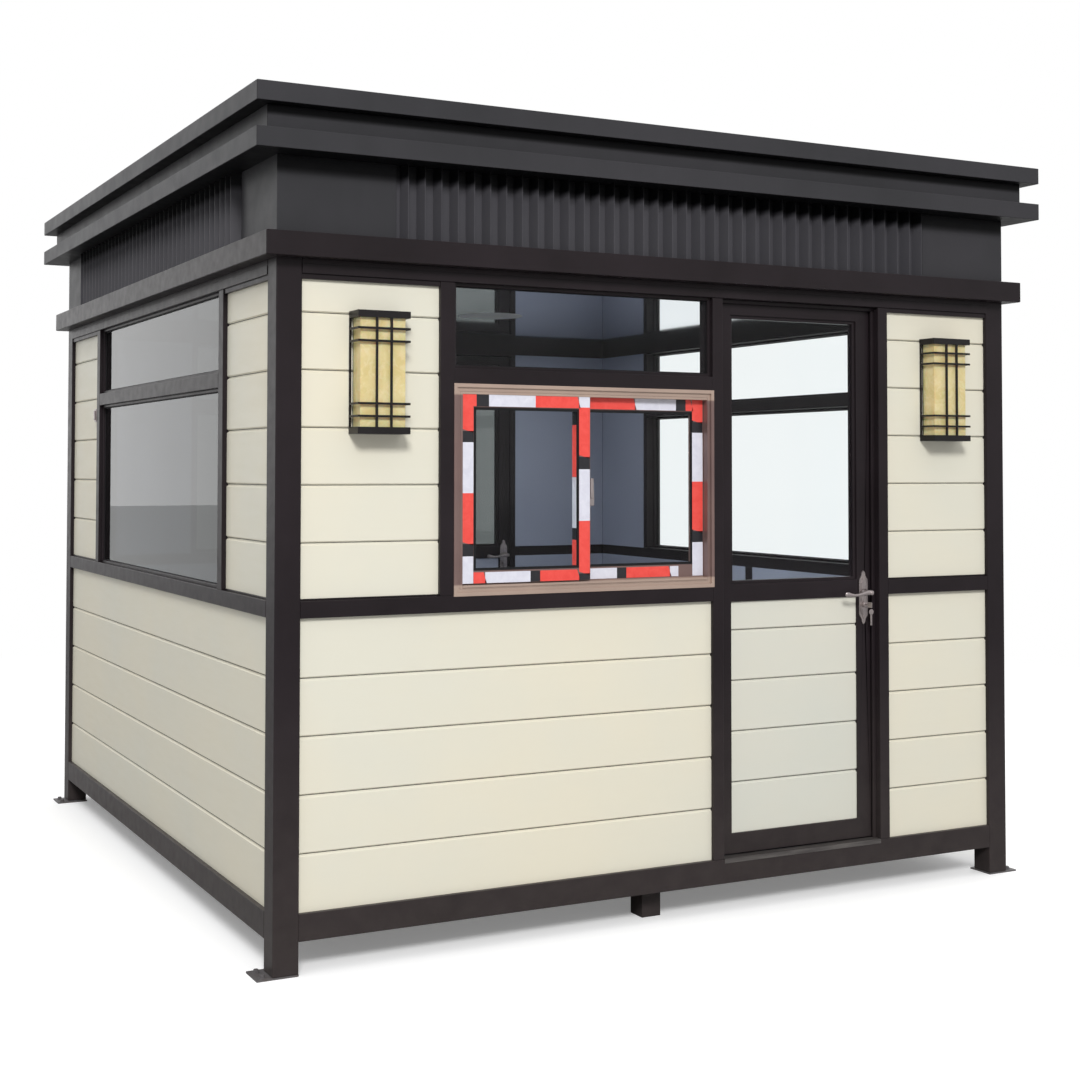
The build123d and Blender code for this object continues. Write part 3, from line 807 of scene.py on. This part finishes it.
def bead(wall, a_0, a_1, z_0, z_1, outer):
    """Two stepped strips that hold a pane, outside and inside."""
    return [
        ring(wall, a_0, a_1, z_0, z_1, [(0.0, outer - 0.011), (0.0095, outer - 0.011),
                                        (0.0115, outer - 0.008), (0.0115, outer), (0.0, outer)]),
        ring(wall, a_0, a_1, z_0, z_1, section(0.0, 0.011, outer + 0.006, outer + 0.018)),
    ]


def window_beads():
    """Beads and seals round the fixed panes, above and below the transom rail."""
    spans = []
    for wall in ("left", "right", "back"):
        low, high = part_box(wall + "_window_glass")
        a_0, a_1 = (low.x, high.x) if wall == "back" else (low.y, high.y)
        spans += [(wall, a_0, a_1, low.z, rails[0].z), (wall, a_0, a_1, rails[1].z, high.z)]
    low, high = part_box("front_transom_glass")
    spans += [("front", low.x, high.x, low.z, high.z)]
    outer = low.y + REACH
    shapes, seals = [], []
    for span in spans:
        shapes += bead(*span, outer)
        seals.append(ring(*span, section(0.0105, 0.0145, outer - 0.0015, outer)))
    piece("glazing_beads", *merged(shapes), ["frame_paint"], "frame_paint", round_=0.0006)
    piece("glazing_seals", *merged(seals), ["rubber"], "frame_paint")


def door_beads():
    for wall in ("front", "back"):
        body = wall + "_door"
        low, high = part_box(body + "_glass")
        shapes = bead(wall, low.x, high.x, low.z, high.z, outer_inset(wall, low, high))
        piece(body + "_beads", *merged(shapes), ["frame_paint"], "frame_paint", body, round_=0.0006)


def wall_trims():
    """A folded strip under the ledge, and channels that close the boards at top and bottom."""
    strips, channels = [], []
    reach = REACH - POST
    for wall in WALLS:
        strips.append(bars(wall, [
            (-reach, reach, -0.0022, 0.0002, beam_low + 0.001, beam_low + 0.030),
            (-reach, reach, -0.0008, 0.0002, beam_low + 0.0335, ledge_low - 0.0005),
        ]))
        for run in board_runs(wall, beside_glass=True):
            channels.append(bars(wall, [
                (*run, 0.004, BOARD_FACE, boards_high - 0.016, boards_high - 0.0003),
                (*run, 0.012, BOARD_FACE, sill_high + 0.0003, sill_high + 0.006),
            ]))
    piece("ledge_trim", *merged(strips), ["frame_paint"], "frame_paint", round_=0.0007)
    piece("board_channels", *merged(channels), ["frame_paint"], "frame_paint", round_=0.0007)


def groove_shade_strips(wall, runs, face, low, high):
    """A dark strip deep in each groove between the boards from low to high: painted shade, standing in for the
    shadow in the groove.
    """
    grooves, z = [], low + BOARD_PITCH
    while z < high - 0.014:
        grooves.append((z - 0.0024, z - 0.0006))
        z += BOARD_PITCH
    return [bars(wall, [(*run, face + 0.0052, face + 0.0062, *groove)])
            for run in runs for groove in grooves]


# painted shade: dark strips in the board grooves, on the walls and on the door leaves
def board_joints():
    shapes = []
    for wall in WALLS:
        shapes += groove_shade_strips(wall, board_runs(wall, False), BOARD_FACE, deck, sill_low)
        shapes += groove_shade_strips(wall, board_runs(wall, True), BOARD_FACE, sill_high, boards_high)
    piece("board_joints", *merged(shapes), ["rubber"], "cream_boards")
    for wall in ("front", "back"):
        low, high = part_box(wall + "_door_boards")
        shapes = groove_shade_strips(wall, [(low.x, high.x)], outer_inset(wall, low, high), low.z, high.z)
        piece(wall + "_door_joints", *merged(shapes), ["rubber"], "cream_boards", wall + "_door")


def thresholds():
    """A metal strip over the base beam in each doorway, turned down outside."""
    shapes = []
    for wall in ("front", "back"):
        low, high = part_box(wall + "_door_lining")
        run = low.x + 0.001, high.x - 0.001
        shapes.append(bars(wall, [
            (*run, -0.0015, 0.038, deck, deck + 0.0022),
            (*run, -0.0018, 0.0, deck - 0.014, deck + 0.0022),
        ]))
    piece("door_thresholds", *merged(shapes), ["threshold_metal"], "steel_plate", round_=0.0005)


def inner_lining():
    """Smooth sheets on the room's side of the boards, split at the studs, windows and doors."""
    sheet = POST + 0.0003, POST + 0.0035
    reach = REACH - POST - 0.004
    under, beside = (deck + 0.003, sill_low + 0.002), (sill_high - 0.002, beam_low + 0.002)
    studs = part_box("wall_studs")
    shapes = []
    for wall in ("left", "right", "front", "back"):
        if wall in ("left", "right"):
            low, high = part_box(wall + "_window_glass")
            spans = [(-reach, studs[0].y, under), (studs[1].y, reach, under),
                     (-reach, low.y - LAP, beside), (high.y + LAP, reach, beside)]
        else:
            near, far = door_span(wall)
            spans = [(-reach, near - 0.004, under), (-reach, X_0 - LAP, beside),
                     (far - 0.020, reach, under), (far - 0.020, reach, beside)]
        shapes.append(bars(wall, [(a_0, a_1, *sheet, *heights) for a_0, a_1, heights in spans]))
    piece("inner_lining", *merged(shapes), ["lining_board"], "cream_boards", round_=0.0008)


LINING_RISE, LINING_THICK = 0.0555, 0.0022


def ceiling_lining():
    """The polished sheet between the head beams, with the flat lamp in it."""
    reach = REACH - POST - 0.001
    low = beam_low + LINING_RISE
    sheet = block((-reach, -reach, low), (reach, reach, low + LINING_THICK))
    piece("ceiling_lining", *sheet, ["ceiling_sheet"], "ceiling_sheet")
    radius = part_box("ceiling_lamp")[1].x
    rim = oval(48, radius, radius)
    points = [(x, y, z) for z in (low - 0.0014, low + 0.0005) for x, y in rim]
    piece("ceiling_lamp_face", points, skin(2, len(rim)), ["ceiling_light"], "ceiling_light")


window_beads()
door_beads()
wall_trims()
board_joints()
thresholds()
inner_lining()
ceiling_lining()

# ---------------------------------------------------------------- handles

joint_at = {joint["name"]: joint["pos_m"] for joint in frame["joints"]}
PLATE, RAISED = 0.0055, 0.0078
LOCK_DROP, LOCK_OUT = 0.046, 0.018
GRIP_IN = 0.0085


def plate_outline(wide=1.0, tall=1.0):
    """A plate with straight sides, and ends that draw in to a point."""
    quarter = [(20, 58), (18.5, 68), (13, 75), (9, 81), (8.5, 89), (5, 96), (0, 100)]
    half = quarter + [(-u, v) for u, v in reversed(quarter[:-1])]
    return [(u * wide / 1000, v * tall / 1000) for u, v in half + [(-u, -v) for u, v in half]]


def grip(centre, y_end, out):
    """A lever's grip: an oval section on a gentle S, thick at both ends."""
    stations = [  # how far along and up, and half the height and depth
        (-0.012, 0.0, 0.004, 0.003), (-0.010, 0.0, 0.0075, 0.0045), (0.0, 0.001, 0.0095, 0.006),
        (0.015, 0.001, 0.0095, 0.006), (0.035, -0.003, 0.008, 0.0052),
        (0.055, -0.0065, 0.0058, 0.0045), (0.075, -0.0075, 0.0052, 0.0042),
        (0.092, -0.006, 0.0072, 0.0048), (0.104, -0.004, 0.0095, 0.0054),
        (0.113, -0.003, 0.0090, 0.0050), (0.118, -0.003, 0.0062, 0.0036),
        (0.120, -0.003, 0.002, 0.0012),
    ]
    sides = 20
    points = [(centre[0] - run, y_end - out * (GRIP_IN + u), centre[1] + rise + v)
              for run, rise, tall, deep in stations for u, v in oval(sides, deep, tall)]
    return points, skin(len(stations), sides)


def handles(side, sign):
    """Plates, levers and locks of one door. sign is -1 for the front door and 1 for the back."""
    pivot = joint_at[side + "_lever_turn"]
    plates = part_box(side + "_handle_plates")
    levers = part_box(side + "_levers")
    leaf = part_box(side + "_door_leaf")
    centre = (pivot[0], pivot[2])
    plate_centre = (pivot[0], (plates[0].z + plates[1].z) / 2)
    outer, inner = (0, 1) if sign < 0 else (1, 0)
    outer_face, inner_face = leaf[outer].y, leaf[inner].y
    outer_end, inner_end = levers[outer].y, levers[inner].y
    lock_centre = (pivot[0], pivot[2] - LOCK_DROP)
    plate_shapes, lever_shapes, lock_shapes = [], [], []
    for face, end, out in ((outer_face, outer_end, sign), (inner_face, inner_end, -sign)):
        flat, raised = face + out * PLATE, face + out * RAISED
        plate_shapes.append(prism(plate_outline(), plate_centre, face, flat))
        plate_shapes.append(prism(plate_outline(0.62, 0.80), plate_centre, flat, raised))
        lever_shapes.append(lathe(centre, [
            (0.0125, face + out * 0.0086), (0.0125, face + out * 0.0125),
            (0.0092, face + out * 0.015), (0.0078, face + out * 0.024),
            (0.0078, end - out * 0.010), (0.009, end - out * 0.003), (0.0075, end - out * 0.0004),
        ]))
        lever_shapes.append(grip(centre, end, out))
        lock_shapes.append(lathe(lock_centre, [
            (0.0098, face + out * 0.0076), (0.0098, face + out * 0.0165),
            (0.0085, face + out * LOCK_OUT),
        ]))
    lever_shapes.append(lathe(centre, [
        (0.005, outer_face + sign * 0.0088), (0.005, inner_face - sign * 0.0088)]))
    made = piece(side + "_plates_shaped", *merged(plate_shapes), ["handle_nickel"], "handle_nickel",
                 side + "_door", round_=0.0009)
    piece(side + "_locks", *merged(lock_shapes), ["handle_nickel"], "handle_nickel", side + "_door",
          round_=0.0006)
    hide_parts(side + "_handle_plates")
    made = piece(side + "_levers_shaped", *merged(lever_shapes), ["handle_nickel"], "handle_nickel",
                 side + "_lever", smooth=True)
    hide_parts(side + "_levers")


def keys():
    """A key in the front door's lock and its twin that hangs from it."""
    pivot = joint_at["front_lever_turn"]
    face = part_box("front_door_leaf")[0].y - LOCK_OUT
    x, z = pivot[0], pivot[2] - LOCK_DROP
    shapes = [
        block((x - 0.0012, face - 0.012, z - 0.004), (x + 0.0012, face, z + 0.004)),
        block((x - 0.0014, face - 0.034, z - 0.010), (x + 0.0014, face - 0.012, z + 0.010)),
        prism(oval(16, 0.0105, 0.0105), (x + 0.006, z - 0.026), face - 0.024, face - 0.0218),
        block((x + 0.002, face - 0.024, z - 0.076), (x + 0.0095, face - 0.0218, z - 0.034)),
    ]
    piece("front_keys", *merged(shapes), ["handle_nickel"], "handle_nickel", "front_door",
          round_=0.0006)


handles("front", -1)
handles("back", 1)
keys()


CATCH_Z = (1.772, 1.830)


def side_catch():
    """A small folding catch on the left wall's far panel."""
    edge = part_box("left_window_glass")[1].y + MULLION
    low, high = CATCH_Z
    shapes = [bars("left", [
        (edge + 0.012, edge + 0.044, 0.0005, 0.016, low, high),
        (edge + 0.020, edge + 0.036, -0.006, 0.001, low + 0.008, high - 0.008),
    ])]
    piece("side_catch", *merged(shapes), ["handle_nickel"], "handle_nickel", round_=0.0012)


SEAMS, SEAM_WIDE, SEAM_TALL, SEAM_GAP = 5, 0.008, 0.022, 0.012


def roof_seams():
    """Standing seams on the roof sheet, inside the crown."""
    low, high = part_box("roof_deck")
    shapes = []
    for n in range(1, SEAMS + 1):
        x = low.x + (high.x - low.x) * n / (SEAMS + 1)
        shapes.append(block((x - SEAM_WIDE / 2, low.y + SEAM_GAP, high.z),
                            (x + SEAM_WIDE / 2, high.y - SEAM_GAP, high.z + SEAM_TALL)))
    piece("roof_seams", *merged(shapes), ["roof_sheet"], "roof_sheet", round_=0.001)


BOLT_OUT, BOLTS_IN = 0.026, (0.024, 0.081)
WASHER, BOLT_HEAD = (0.012, 0.0, 0.002, 20), (0.0085, 0.002, 0.010, 6)  # radius, low, high, sides


def foot_bolts():
    """Two anchor bolts with washers on each corner's foot plate."""
    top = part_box("foot_plates")[1].z
    shapes = []
    for side_x, side_y, along in itertools.product((-1, 1), (-1, 1), BOLTS_IN):
        x, y = side_x * (REACH + BOLT_OUT), side_y * (REACH - along)
        for radius, low, high, sides in (WASHER, BOLT_HEAD):
            points = [(x + u, y + v, top + z)
                      for z in (low, high) for u, v in oval(sides, radius, radius)]
            shapes.append((points, skin(2, sides)))
    piece("foot_bolts", *merged(shapes), ["steel_plate"], "steel_plate", round_=0.0005)


side_catch()
roof_seams()
foot_bolts()

# ---------------------------------------------------------------- stage


FLOOR_REACH, FADE_FROM, FADE_TO = 60.0, 3.2, 7.5
MIDDLE = (0.0, 0.0, 1.3)


def add_floor():
    """A pale floor that fades to white away from the object, where it can be seen."""
    mesh = bpy.data.meshes.new("studio_floor")
    far = FLOOR_REACH
    corners = [(-far, -far, 0.0), (far, -far, 0.0), (far, far, 0.0), (-far, far, 0.0)]
    mesh.from_pydata(corners, [], [(0, 1, 2, 3)])
    made = Surface("studio_floor", roughness=0.9, specular_ior_level=0.1)
    seen = seen_share(made.tree)
    pale = made.blend(made.noise(0.5), srgb(247, 247, 247), srgb(249, 249, 249))
    made.colour(made.blend(seen, srgb(178, 178, 178), pale))
    made.shader.inputs["Emission Color"].default_value = (1.0, 1.0, 1.0, 1.0)
    made.link(made.math("MULTIPLY", seen, 0.2), made.shader.inputs["Emission Strength"])
    radius = made.node("ShaderNodeVectorMath", operation="LENGTH")
    made.link(made.coords, radius.inputs[0])
    fade = made.math("POWER", made.band(radius.outputs["Value"], FADE_FROM, FADE_TO), 1.5)
    made.mix_in(made.math("MULTIPLY", fade, seen), made.node("ShaderNodeEmission"))
    mesh.materials.append(made.material)
    floor = bpy.data.objects.new("studio_floor", mesh)
    bpy.context.scene.collection.objects.link(floor)


add_camera()
add_floor()
add_world(horizon=0.2, zenith=1.1)
add_area("key", (-6.2, -14.0, 9.8), MIDDLE, (4.0, 3.2), 1950.0)
add_area("side_card", (-6.0, 11.8, 3.4), (-1.6, 0.0, 1.9), (8.0, 7.0), 70.0)
add_area("right_fill", (11.0, 3.0, 4.5), MIDDLE, (5.0, 4.0), 230.0)
room_light = add_area("room_light", (0.0, 0.0, 2.2), (0.0, 0.0, 0.0), (2.2, 2.2), 17.0)
room_light.visible_transmission = False
room_light.visible_glossy = False
bpy.context.scene.view_settings.view_transform = "Standard"
